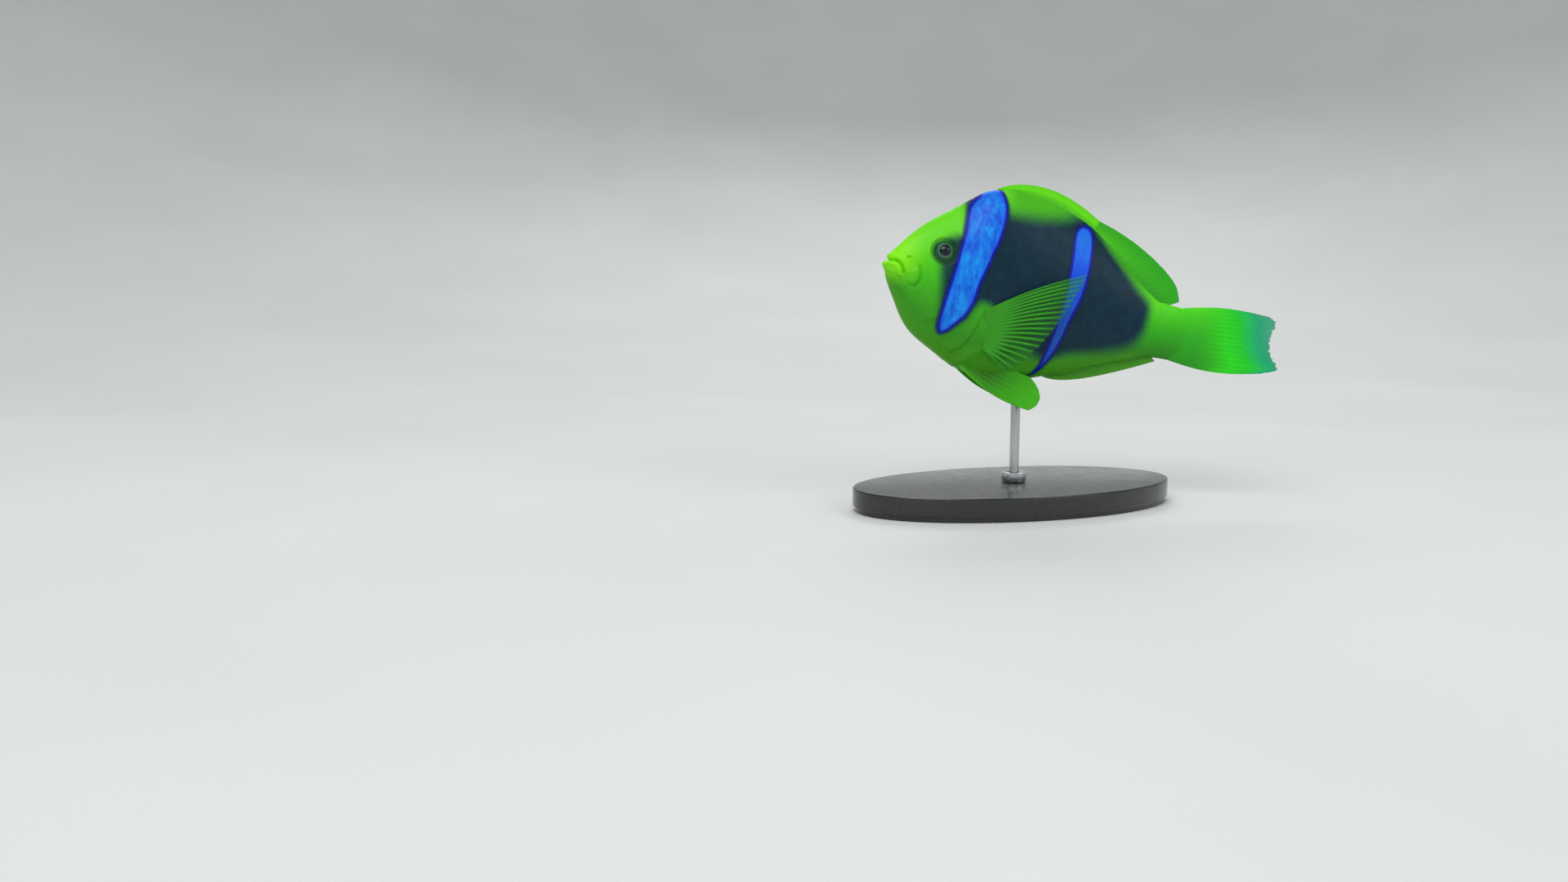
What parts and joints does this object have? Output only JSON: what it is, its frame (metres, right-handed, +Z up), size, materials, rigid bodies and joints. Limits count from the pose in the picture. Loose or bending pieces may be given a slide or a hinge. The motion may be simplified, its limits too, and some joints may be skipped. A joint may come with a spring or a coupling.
{
  "type": "two-banded clownfish",
  "caption": "Life-size still model of a two-banded clownfish (anemonefish), nose up and tail swung to its left, on a steel rod over a flat oval base.",
  "frame": {"origin": "centre of the flat underside of the stand's base, straight below the rod", "axes": "-X is ahead of the fish's snout, -Y is the fish's left side, +Z is up; the fish's trunk points along X and is tilted 12.5 degrees nose up"},
  "size_m": [0.1261, 0.052, 0.0935],
  "materials": {
    "skin_yellow": "satin scaled fish skin, yellow to lime green",
    "skin_dark": "satin scaled fish skin, blue-black with blue-white bars",
    "fin": "satin, translucent fin skin over rays",
    "eye": "wet gloss",
    "lacquered_wood": "black lacquer, satin",
    "steel": "brushed"
  },
  "bodies": {
    "root": {"head": "skin_yellow", "lower_jaw": "skin_yellow", "gill_cover_left": "skin_yellow", "gill_cover_right": "skin_yellow", "trunk": "skin_dark", "tail_root": "skin_yellow", "eye_left": "eye", "eye_right": "eye", "dorsal_fin_spines": "fin", "dorsal_fin_rays": "fin", "anal_fin": "fin", "caudal_fin": "fin", "pectoral_fin_left": "fin", "pectoral_fin_right": "fin", "pelvic_fin_left": "fin", "pelvic_fin_right": "fin", "stand_base": "lacquered_wood", "stand_rod": "steel", "stand_ring": "steel"}
  },
  "joints": []
}
